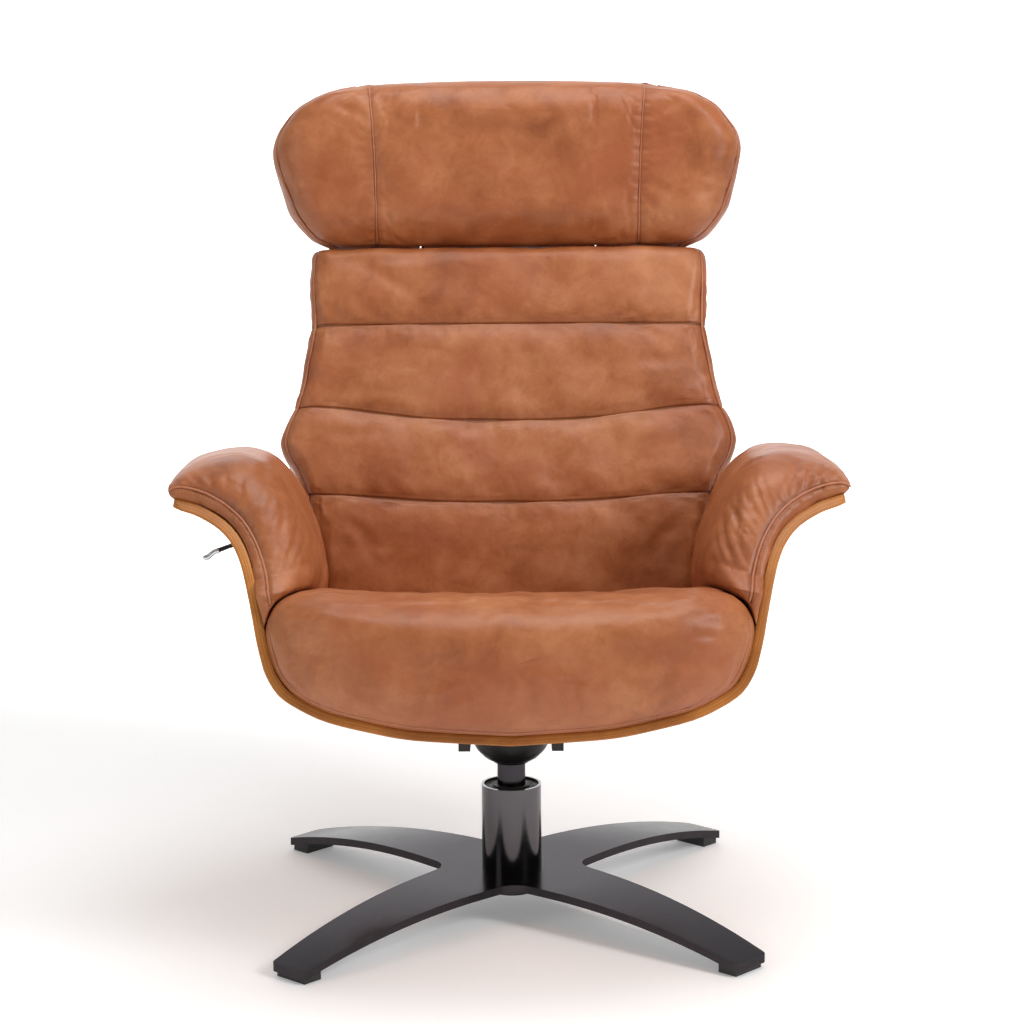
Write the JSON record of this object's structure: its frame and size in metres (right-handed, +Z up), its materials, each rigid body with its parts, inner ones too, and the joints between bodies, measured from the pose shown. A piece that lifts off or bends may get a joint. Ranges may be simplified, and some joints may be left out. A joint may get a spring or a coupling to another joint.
{
  "type": "star base swivel recliner",
  "caption": "Leather swivel recliner: cushions in a bent ply shell with flared arms, tilting headrest, lever-released gas recline, on a low steel star.",
  "frame": {"origin": "point on the floor on the swivel axis, under the middle of the chair", "axes": "+Z up along the swivel axis; -Y to the front, the way the sitter faces; +X to the right of someone looking at the chair from the front"},
  "size_m": [0.8524, 0.8167, 1.0865],
  "materials": {
    "leather": "semi-gloss pull-up leather",
    "shell_veneer": "satin lacquer",
    "plywood": "bare",
    "gunmetal": "polished dark gunmetal",
    "black_paint": "satin black",
    "black_plastic": "matte",
    "nylon": "natural nylon",
    "zinc_steel": "zinc plated",
    "chrome": "polished"
  },
  "bodies": {
    "base": {"star_base": "gunmetal", "glide_front_left": "black_plastic", "glide_front_right": "black_plastic", "glide_rear_left": "black_plastic", "glide_rear_right": "black_plastic", "glide_screws": "zinc_steel", "column_tube": "gunmetal", "column_head": "black_plastic", "column_foot": "zinc_steel", "upper_bush": "black_plastic", "lower_bush": "nylon", "thrust_washer": "nylon", "hub_boss": "gunmetal", "hub_bolt": "zinc_steel"},
    "seat": {"swivel_post": "gunmetal", "post_ring": "zinc_steel", "swivel_cup": "black_paint", "swivel_plate": "black_paint", "swivel_bolts": "zinc_steel", "rail_left": "black_paint", "rail_right": "black_paint", "rail_caps": "black_plastic", "mechanism_plate": "black_paint", "seat_spacers": "plywood", "spring_anchor": "black_paint", "anchor_pin": "zinc_steel", "release_head": "black_paint", "gas_spring": "black_paint", "shaft_bushes": "nylon", "seat_shell": "shell_veneer", "shell_bolts": "zinc_steel", "seat_cushion": "leather", "arm_pad_left": "leather", "arm_pad_right": "leather", "lever_bracket": "black_paint", "lever_pin": "zinc_steel", "release_cable": "black_plastic"},
    "back": {"recline_shaft": "zinc_steel", "crank": "black_paint", "crank_pin": "zinc_steel", "upright_left": "black_paint", "upright_right": "black_paint", "back_board": "plywood", "back_bolts": "zinc_steel", "back_cushion": "leather", "back_panel": "leather", "headrest_bracket_left": "black_paint", "headrest_bracket_right": "black_paint"},
    "headrest": {"headrest_cushion": "leather", "headrest_board": "plywood", "headrest_arm_left": "zinc_steel", "headrest_arm_right": "zinc_steel", "headrest_pins": "zinc_steel"},
    "lever": {"lever_arm": "black_paint", "lever_grip": "chrome"},
    "spring_rod": {"spring_rod": "chrome", "rod_eye": "zinc_steel"}
  },
  "joints": [
    {"name": "swivel", "type": "hinge", "parent": "base", "child": "seat", "pos_m": [0, 0, 0.1], "axis": [0, 0, 1], "continuous": true},
    {"name": "recline", "type": "hinge", "parent": "seat", "child": "back", "pos_m": [0, 0.23108, 0.28728], "axis": [-1, 0, 0], "range_deg": [0, 25]},
    {"name": "headrest_tilt", "type": "hinge", "parent": "back", "child": "headrest", "pos_m": [0, 0.335, 0.9105], "axis": [1, 0, 0], "range_deg": [0, 35]},
    {"name": "lever_lift", "type": "hinge", "parent": "seat", "child": "lever", "pos_m": [-0.343, 0.04195, 0.48912], "axis": [0, 0.9962, -0.0872], "range_deg": [0, 20], "stiffness_Nm_per_rad": 1.2, "springref_deg": -5.73},
    {"name": "spring_stroke", "type": "slide", "parent": "seat", "child": "spring_rod", "axis": [0, -0.9962, 0.0872], "range_m": [0, 0.0217]}
  ],
  "couplings": [
    {"joint": "spring_stroke", "follows": "recline", "m_per_rad": 0.0496}
  ]
}
